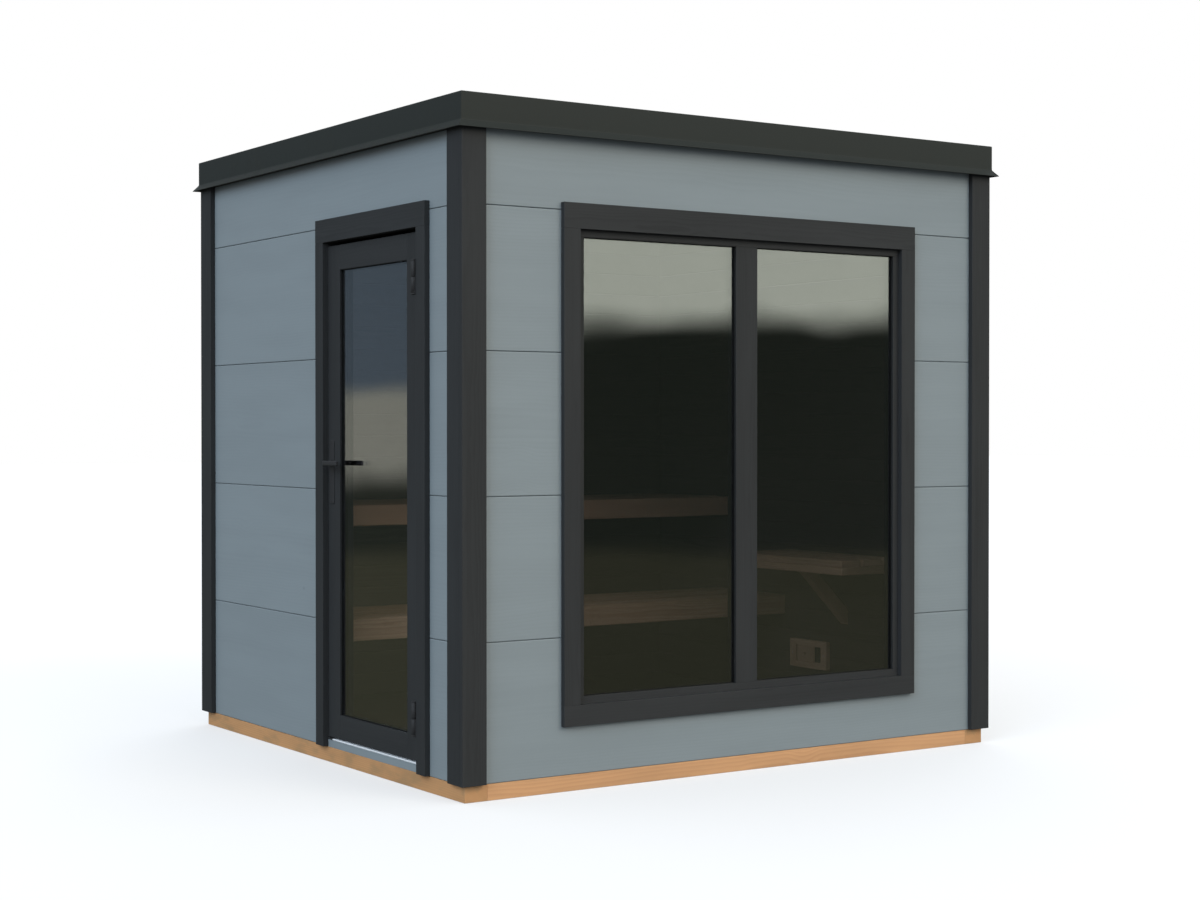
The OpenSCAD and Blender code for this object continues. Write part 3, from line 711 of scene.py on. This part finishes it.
sash = Piece("window_frame", "dark_trim", [M_DARK, M_RUBBER, M_REVEAL_SHADE],
             ["window_frame_rails", "window_frame_stiles"])
boards(sash, "window_frame_rails", X)
boards(sash, "window_frame_stiles", Z)


def sliced(low, high, axis, start, end):
    """The box (low, high) with other limits along one axis."""
    p, q = Vector(low), Vector(high)
    p[axis], q[axis] = start, end
    return p, q


def edge_strips(piece, low, high, thin_axis, width, r, mat):
    """Four strips of a width just inside a pane's edges; their depth is that of the box."""
    across = 1 - thin_axis
    inner = sliced(low, high, across, low[across] + width, high[across] - width)
    for upright, level in (((low[across], low[across] + width), (low[Z], low[Z] + width)),
                           ((high[across] - width, high[across]), (high[Z] - width, high[Z]))):
        piece.box(*sliced(low, high, across, *upright), r, mat, grain=Z)
        piece.box(*sliced(*inner, Z, *level), r, mat, grain=across)


SHEET_GLASS, SPACER, SPACER_PLAY = 0.004, 0.005, 0.0002
BEAD, BEAD_PLAY = 0.0035, 0.0001
SHADE_LINER, SHADE_LINER_INSET = 0.001, 0.001


def glazing(name, node, axis, outer, frame_piece, materials, body):
    """Insulating panes in place of a node's boxes: two sheets, a spacer and seals.

    A near-black liner over the reveal between each pane and the frame's outer face is painted
    shade."""
    panes = Piece(name, "insulating_glass", materials, [node], body)
    spacers = Piece(name + "_spacers", "fittings", [M_RUBBER], (), body)
    for low, high in islands(node):
        near, far = low[axis], high[axis]
        for mat, start in ((0, near), (1, far - SHEET_GLASS)):
            panes.box(*sliced(low, high, axis, start, start + SHEET_GLASS), 0.0004, mat)
        cavity = sliced(low, high, axis, near + SHEET_GLASS + SPACER_PLAY,
                        far - SHEET_GLASS - SPACER_PLAY)
        edge_strips(spacers, *cavity, axis, SPACER, 0.001, 0)
        for face, out in ((near, -1), (far, 1)):
            bead = sliced(low, high, axis, *sorted((face + out * BEAD_PLAY, face + out * BEAD)))
            edge_strips(frame_piece, *bead, axis, BEAD, 0.001, 1)
        # The reveal's liner is painted shade: a dark sheet where the reveal lies in deep shadow
        reveal = sliced(low, high, axis, outer + SHADE_LINER_INSET, near - BEAD - BEAD_PLAY)
        edge_strips(frame_piece, *reveal, axis, SHADE_LINER, 0.0003, 2)
    panes.make()
    spacers.make()


glazing("window_panes", "window_glass", Y, FRONT, sash, M_WINDOW_GLASS, "house")
sash.make()


# ---------------------------------------------------------------- door frame
casing = Piece("door_casing", "dark_trim", [M_DARK], ["door_trim_top", "door_trim_sides"])
casing.box(*B["door_trim_top"], EASED, grain=Y)
boards(casing, "door_trim_sides", Z)
casing.make()

STOP_GAP, STOP_T, SIDE_STOP, STOP_EDGE = 0.005, 0.025, 0.020, 0.0015
SEAL, SEAL_PROUD, SEAL_SUNK, SEAL_EDGE = 0.006, 0.0035, 0.002, 0.0016
head_low, head_high = B["door_head_jamb"]
door_y0, door_y1 = head_low.y, head_high.y
jamb_low, jamb_high = B["door_jambs"]
head_z = B["door_trim_top"][0].z
leaf_low, leaf_high = B["door_stiles"]
sill_low, sill_high = B["door_threshold"]
stop_x, stop_z = leaf_high.x + STOP_GAP, sill_high.z
surround = Piece("door_frame", "dark_trim", [M_DARK, M_RUBBER], ["door_jambs", "door_head_jamb"])
surround.box(jamb_low, Vector((jamb_high.x, door_y0, jamb_high.z)), EASED, grain=Z)
surround.box(Vector((jamb_low.x, door_y1, jamb_low.z)), jamb_high, EASED, grain=Z)
surround.box(Vector((LEFT, door_y0, head_z)), head_high, EASED, grain=Y)
for y0, y1, z0, grain in ((door_y0, door_y0 + SIDE_STOP, stop_z, Z),
                          (door_y1 - SIDE_STOP, door_y1, stop_z, Z),
                          (door_y0 + SIDE_STOP, door_y1 - SIDE_STOP, head_low.z, Y)):
    surround.box(Vector((stop_x, y0, z0)), Vector((stop_x + STOP_T, y1, head_z)), STOP_EDGE,
                 grain=grain)
seal_x0, seal_x1, top_seal = stop_x - SEAL_PROUD, stop_x + SEAL_SUNK, head_low.z + 0.003
for y in (door_y0 + SIDE_STOP - 2 * SEAL, door_y1 - SIDE_STOP + SEAL):
    surround.box(Vector((seal_x0, y, stop_z + 0.004)),
                 Vector((seal_x1, y + SEAL, head_z - 0.03)), SEAL_EDGE, 1, Z)
surround.box(Vector((seal_x0, door_y0 + 0.03, top_seal)),
             Vector((seal_x1, door_y1 - 0.03, top_seal + SEAL)), SEAL_EDGE, 1, Y)
surround.make()

# Threshold: a ribbed plate with a nose over the sill, its last DARK_END at the far end in dark
# paint
GROOVE_STEP, GROOVE_DEEP, NOSE, DARK_END = 0.009, 0.0012, 0.0032, 0.042
top = sill_high.z
ribs = [(LEFT, sill_low.z), (sill_high.x, sill_low.z), (sill_high.x, top - 0.0015),
        (sill_high.x - 0.003, top)]
x = sill_high.x - 0.012
while x > sill_low.x + 0.014:
    ribs += [(x, top), (x - 0.001, top - GROOVE_DEEP), (x - 0.0035, top - GROOVE_DEEP),
             (x - 0.0045, top)]
    x -= GROOVE_STEP
ribs += [(sill_low.x + 0.002, top), (sill_low.x, top - 0.002), (sill_low.x, sill_low.z + NOSE),
         (LEFT, sill_low.z + NOSE)]
dark_from = door_y1 - DARK_END
plate = Piece("door_threshold_plate", "bare_metal", [M_BARE, M_FITTING], ["door_threshold"])
for y0, y1, mat in ((door_y0 + 0.0005, dark_from - 0.0002, 0), (dark_from, door_y1 - 0.0005, 1)):
    plate.prism([(z, x) for x, z in ribs], Y, y0, y1, mat)
plate.make()


# ---------------------------------------------------------------- door leaf
LOCK_HALF, LOCK_SUNK, LOCK_PROUD, LOCK_BELOW, LOCK_ABOVE = 0.010, 0.001, 0.0015, 0.13, 0.11
hinge, lever_pin = (joint["pos_m"] for joint in frame["record"]["behaviour"]["joints"][:2])
lever_y, lever_z = lever_pin[1:]
leaf = Piece("door_leaf_frame", "dark_trim", [M_DARK, M_RUBBER, M_REVEAL_SHADE, M_BARE],
             ["door_stiles", "door_rails"], "door_leaf")
boards(leaf, "door_stiles", Z)
boards(leaf, "door_rails", Y)
glazing("door_pane", "door_glass", X, leaf_low.x, leaf, M_DOOR_GLASS, "door_leaf")
lock_x = (leaf_low.x + leaf_high.x) / 2
leaf.box(Vector((lock_x - LOCK_HALF, leaf_high.y - LOCK_SUNK, lever_z - LOCK_BELOW)),
         Vector((lock_x + LOCK_HALF, leaf_high.y + LOCK_PROUD, lever_z + LOCK_ABOVE)), 0.0007, 3, Z)
leaf.make()

KNUCKLE_R, HINGE_PLATE, PLATE_REACH, KNUCKLE_PLAY = 0.009, 0.003, 0.04, 0.001
PIN_R, PIN_LENGTH = 0.0034, 0.02


def knuckle(piece, low, high, tip_low, y_from):
    """One half of a hinge between two heights, its closed end at the bottom or at the top."""
    length, ring_r = high - low, KNUCKLE_R - 0.0011
    profile = [(0.0, 0.0), (0.0, 0.0062), (0.0011, 0.0082), (0.0026, KNUCKLE_R),
               (0.0045, KNUCKLE_R), (0.005, ring_r), (0.0062, ring_r), (0.0067, KNUCKLE_R),
               (length - 0.0008, KNUCKLE_R), (length, KNUCKLE_R - 0.0008), (length, 0.0)]
    if not tip_low:
        profile = [(length - along, r) for along, r in profile][::-1]
    piece.turned(profile, (hinge[0], hinge[1], low), Z, 40)
    piece.box(Vector((hinge[0], y_from, low)),
              Vector((LEFT + PLATE_REACH, y_from + HINGE_PLATE, high)), 0.0008, grain=Z)


fixed = Piece("hinge_fixed_halves", "fittings", [M_FITTING], ["hinge_frame_halves"])
for (low, _), (upper, _) in zip(islands("hinge_frame_halves"), islands("hinge_leaf_halves")):
    knuckle(fixed, low.z, upper.z - KNUCKLE_PLAY, True, door_y0)
    fixed.turned([(0.0, 0.0), (0.0, PIN_R), (PIN_LENGTH, PIN_R), (PIN_LENGTH, 0.0)],
                 (hinge[0], hinge[1], upper.z - PIN_LENGTH / 2), Z, 20)
fixed.make()
swinging = Piece("hinge_swinging_halves", "fittings", [M_FITTING], ["hinge_leaf_halves"],
                 "door_leaf")
for low, high in islands("hinge_leaf_halves"):
    knuckle(swinging, low.z, high.z, False, leaf_low.y - HINGE_PLATE)
swinging.make()


# ---------------------------------------------------------------- handle
def rounded(width, height, r, steps=5):
    """A rectangle of points with rounded corners, about the origin."""
    out = []
    for k, (sx, sy) in enumerate(((1, 1), (-1, 1), (-1, -1), (1, -1))):
        for i in range(steps + 1):
            angle = math.pi / 2 * (k + i / steps)
            out.append((sx * (width / 2 - r) + r * math.cos(angle),
                        sy * (height / 2 - r) + r * math.sin(angle)))
    return out


PLATE_R, PLATE_BEVEL, SCREW_INSET, SCREW_R, ROSE_R = 0.006, 0.0015, 0.011, 0.0042, 0.0115
backs = Piece("handle_backplates", "fittings", [M_FITTING], ["handle_plates"], "door_leaf")
for low, high in islands("handle_plates"):
    flat, proud = (high.x, low.x) if low.x < LEFT else (low.x, high.x)
    way = math.copysign(1.0, proud - flat)
    width, height, middle_z = high.y - low.y, high.z - low.z, (low.z + high.z) / 2
    outline = rounded(width, height, PLATE_R)
    inset = rounded(width - 2 * PLATE_BEVEL, height - 2 * PLATE_BEVEL, PLATE_R - PLATE_BEVEL)
    backs.loft([[Vector((x, lever_y + y, middle_z + z)) for y, z in row] for x, row in (
        (flat, outline), (proud - way * PLATE_BEVEL, outline), (proud, inset))], grain=Z)
    for z in (low.z + SCREW_INSET, high.z - SCREW_INSET):
        backs.screw((proud, lever_y, z), X, way, SCREW_R)
    backs.turned([(0.0, 0.0), (0.0, ROSE_R), (way * 0.005, ROSE_R),
                  (way * 0.006, ROSE_R - 0.001), (way * 0.006, 0.0)],
                 (proud, lever_y, lever_z), X, 40)
backs.make()

# Levers: each leaves the leaf along X, turns through a right angle and runs back along Y
lever_low, lever_high = B["door_lever"]
LEVER_T, BEND, BEND_STEPS, NECK_R, NECK_SUNK = 0.011, 0.012, 8, 0.0078, 0.01
bar = rounded(LEVER_T, lever_high.z - lever_low.z, 0.0045)
levers = Piece("lever_handles", "fittings", [M_FITTING], ["door_lever"], "lever")
for start, grip, way in ((LEFT + NECK_SUNK, lever_low.x + LEVER_T / 2, -1.0),
                         (leaf_high.x - NECK_SUNK, lever_high.x - LEVER_T / 2, 1.0)):
    path = []
    bend_x = grip - way * BEND
    for i in range(BEND_STEPS + 1):
        angle = math.pi / 2 * i / BEND_STEPS
        path.append((Vector((bend_x + way * BEND * math.sin(angle),
                             lever_y - BEND * (1 - math.cos(angle)), lever_z)), 1.0))
    path += [(Vector((grip, lever_low.y + left, lever_z)), scale) for left, scale in (
        (0.05, 1.0), (0.006, 1.0), (0.0022, 0.94), (0.0006, 0.8), (0.0, 0.6))]
    levers.swept(path, bar, Vector((0, 0, 1)), Y)
    neck = bend_x - start + way * 0.003
    levers.turned([(0.0, 0.0), (0.0, NECK_R), (neck, NECK_R), (neck, 0.0)],
                  (start, lever_y, lever_z), X, 32)
levers.make()


# ---------------------------------------------------------------- benches
BOARD_T, SLAT_GAP, BEARER = 0.028, 0.014, 0.045
SLAT_EDGE, BEARER_EDGE = 0.004, 0.002


def bench(name, node, slats, bearers):
    """A wide bench: a front board, slats along X and bearers below them."""
    low, high = B[node]
    made = Piece(name, "bench_timber", [M_BENCH], [node])
    made.box(low, Vector((high.x, low.y + BOARD_T, high.z)), SLAT_EDGE, grain=X)
    first = low.y + BOARD_T
    width = (high.y - first - slats * SLAT_GAP) / slats
    step = (high.x - low.x - BEARER) / (bearers - 1)
    for i in range(slats):
        y = first + SLAT_GAP + i * (width + SLAT_GAP)
        made.box(Vector((low.x, y, high.z - BOARD_T)), Vector((high.x, y + width, high.z)),
                 SLAT_EDGE, grain=X)
    for i in range(bearers):
        x = low.x + i * step
        made.box(Vector((x, first - 0.0001, low.z)),
                 Vector((x + BEARER, high.y, high.z - BOARD_T)), BEARER_EDGE, grain=Y)
    made.make()


bench("upper_bench_slats", "upper_bench", 5, 4)
bench("lower_bench_slats", "lower_bench", 4, 4)

# Side bench: slats along Y on three bearers, with a front board and a brace to the wall
SIDE_SLATS, SIDE_T, BRACE, BRACE_REACH = 3, 0.060, 0.045, 0.245
low, high = B["side_bench"]
under, seat = high.z - SIDE_T, high.z - BOARD_T
width = (high.x - low.x - (SIDE_SLATS - 1) * SLAT_GAP) / SIDE_SLATS
side_bench = Piece("side_bench_slats", "bench_timber", [M_BENCH], ["side_bench"])
for i in range(SIDE_SLATS):
    x = low.x + i * (width + SLAT_GAP)
    side_bench.box(Vector((x, low.y, seat)), Vector((x + width, high.y, high.z)), SLAT_EDGE,
                   grain=Y)
for y in (low.y, (low.y + high.y - BRACE) / 2, high.y - BRACE):
    side_bench.box(Vector((low.x + BOARD_T, y, under)), Vector((high.x, y + BRACE, seat)),
                   BEARER_EDGE, grain=X)
side_bench.box(Vector((low.x, low.y, under)), Vector((low.x + BOARD_T, high.y, seat)), 0.003,
               grain=Y)
slope, foot = BRACE * math.sqrt(2), under - BRACE_REACH
side_bench.prism([(foot, high.x), (foot + slope, high.x), (under, high.x - BRACE_REACH + slope),
                  (under, high.x - BRACE_REACH)],
                 Y, (low.y + high.y - BRACE) / 2, (low.y + high.y + BRACE) / 2, grain=Z)
side_bench.make()


# ---------------------------------------------------------------- vent
TRACK_L, TRACK_H, GROOVE_T, GROOVE_H = 0.170, 0.072, 0.0046, 0.0846
TONGUE_T, TONGUE, TONGUE_ROOT = 0.004, 0.011, 0.002
low, high = B["vent_frame"]
slider_low, slider_high = B["vent_slider"]
slider_x = (slider_low.x + slider_high.x) / 2
y_mid, z_mid = (low.y + high.y) / 2, (low.z + high.z) / 2
track_y0, track_y1 = y_mid - TRACK_L / 2, y_mid + TRACK_L / 2
groove_x0, groove_x1 = slider_x - GROOVE_T / 2, slider_x + GROOVE_T / 2
vent = Piece("vent_frame_bars", "bench_timber", [M_BENCH, M_BARE], ["vent_frame"])
for y0, y1 in ((low.y, track_y0), (track_y1, high.y)):
    vent.box(Vector((low.x, y0, low.z)), Vector((high.x, y1, high.z)), 0.002, grain=Z)
    vent.screw((low.x, (y0 + y1) / 2, z_mid), X, -1.0, 0.003, 1)
for outer, way in ((low.z, 1), (high.z, -1)):
    lip, deep = z_mid - way * TRACK_H / 2, z_mid - way * GROOVE_H / 2
    vent.prism([(outer, low.x), (outer, high.x), (lip, high.x), (lip, groove_x1),
                (deep, groove_x1), (deep, groove_x0), (lip, groove_x0), (lip, low.x)],
               Y, track_y0, track_y1)
vent.make()

cover = Piece("vent_slider_board", "bench_timber", [M_BENCH], ["vent_slider"], "vent_cover")
cover.box(slider_low + Vector((0, 0, TONGUE)), slider_high - Vector((0, 0, TONGUE)), 0.0015,
          grain=Y)
for z0, z1 in ((slider_low.z, slider_low.z + TONGUE + TONGUE_ROOT),
               (slider_high.z - TONGUE - TONGUE_ROOT, slider_high.z)):
    cover.box(Vector((slider_x - TONGUE_T / 2, slider_low.y + 0.0005, z0)),
              Vector((slider_x + TONGUE_T / 2, slider_high.y - 0.0005, z1)), 0.0008, grain=Y)
cover.turned([(0.0, 0.0), (0.0, 0.006), (-0.004, 0.005), (-0.009, 0.008), (-0.012, 0.0075),
              (-0.0135, 0.005), (-0.014, 0.0)],
             (slider_low.x + 0.001, (slider_low.y + slider_high.y) / 2, z_mid), X, 28)
cover.make()


# ---------------------------------------------------------------- stage, light and camera
def sight(shader):
    """Factors for rays that see the background: directly or through glass, and mirrored."""
    ray = shader.node("LightPath").outputs
    mirrored = shader.math("MULTIPLY", ray["Is Glossy Ray"],
                           shader.math("GREATER_THAN", ray["Glossy Depth"], 0.5))
    through = shader.math("MULTIPLY", ray["Is Transmission Ray"],
                          shader.math("LESS_THAN", ray["Glossy Depth"], 0.5))
    return shader.math("MAXIMUM", ray["Is Camera Ray"], through), mirrored


# The floor takes shadows, looks nearly white, and is clear for mirrored rays
FLOOR_GLOW, FLOOR_REACH = 0.45, 60.0
ground = material("floor_pale")
direct, mirrored = sight(ground)
pale = ground.node("BsdfDiffuse", {"Color": rgb(0.45, 0.45, 0.45)})
glow = ground.node("Emission", {"Color": rgb(1, 1, 1),
                                "Strength": ground.math("MULTIPLY", direct, FLOOR_GLOW)})
lit = ground.node("AddShader", {0: pale.outputs[0], 1: glow.outputs[0]})
clear = ground.node("BsdfTransparent", {"Color": rgb(1, 1, 1)})
mesh = bpy.data.meshes.new("studio_floor")
mesh.from_pydata([(x * FLOOR_REACH, y * FLOOR_REACH, 0)
                  for x, y in ((-1, -1), (1, -1), (1, 1), (-1, 1))], [], [(0, 1, 2, 3)])
mesh.materials.append(ground.surface(
    ground.node("MixShader", {0: mirrored, 1: lit.outputs[0], 2: clear.outputs[0]})))
studio_floor = bpy.data.objects.new("studio_floor", mesh)
studio_floor.location.z = cad_low.z - 0.0005
bpy.context.scene.collection.objects.link(studio_floor)
studio_floor.visible_glossy = studio_floor.visible_diffuse = False
studio_floor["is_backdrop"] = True

# The world is white to the eye, soft light to the object, and a plain gradient to mirrors:
# dim sky on one side and bright on the other, over a dark band
KEY_SIDE = (0.555, -0.832)
sky = Shader(bpy.data.worlds.new("studio"))
bpy.context.scene.world = sky.owner
direct, mirrored = sight(sky)
x, y, z = sky.node("SeparateXYZ", {0: sky.node("TexCoord").outputs["Generated"]}).outputs
toward = sky.step(sky.math("ADD", sky.math("MULTIPLY", x, KEY_SIDE[0]),
                           sky.math("MULTIPLY", y, KEY_SIDE[1])), -0.6, 0.8)
horizon = sky.math("SUBTRACT", z, sky.math("MULTIPLY", toward, 0.078))
dim = sky.mix(sky.step(z, 0.012, 0.024), rgb(0.41, 0.42, 0.36), rgb(0.128, 0.17, 0.212))
above = sky.mix(toward, dim, rgb(1.18, 1.26, 1.08))
above = sky.mix(sky.step(z, 0.1, 0.5), above, rgb(0.45, 0.48, 0.5))
below = sky.mix(sky.step(z, -0.068, -0.055), rgb(0.077, 0.081, 0.054), rgb(0.035, 0.043, 0.034))
gradient = sky.mix(sky.step(horizon, -0.035, -0.015), below, above)
ambient = sky.mix(sky.step(z, -0.1, 0.1), rgb(0.18, 0.19, 0.20), rgb(0.93, 0.99, 1.05))
colour = sky.mix(direct, sky.mix(mirrored, ambient, gradient), rgb(1.0, 1.0, 1.0))
sky.surface(sky.node("Background", {"Color": colour, "Strength": 1.0}), "OutputWorld")

SOFT_ANGLE = 40
for name, colour, energy, source in (("key", (1.0, 0.907, 0.74), 1.13, (0.27, -0.82, 0.50)),
                                     ("fill", (0.65, 0.81, 1.0), 1.49, (-0.75, -0.35, 0.45)),
                                     ("rear", (0.9, 0.95, 1.0), 0.9, (0.6, 0.68, 0.42))):
    sun = bpy.data.lights.new(name, "SUN")
    sun.color, sun.energy, sun.angle = colour, energy, math.radians(SOFT_ANGLE)
    lamp = bpy.data.objects.new(name, sun)
    lamp.rotation_euler = Vector(source).to_track_quat("Z", "Y").to_euler()
    bpy.context.scene.collection.objects.link(lamp)

# The camera that the photograph's perspective gives
lens = bpy.data.cameras.new("photo_camera")
lens.sensor_width = 36.0
lens.lens = 60.59
lens.clip_start, lens.clip_end = 0.05, 300.0
camera = bpy.data.objects.new("photo_camera", lens)
camera.location = (-4.630, -7.066, 1.281)
camera.rotation_euler = (math.radians(90.0 - 0.650), 0.0, math.radians(-33.709))
bpy.context.scene.collection.objects.link(camera)
bpy.context.scene.camera = camera

bpy.context.scene.view_settings.view_transform = "Standard"

low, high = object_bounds()
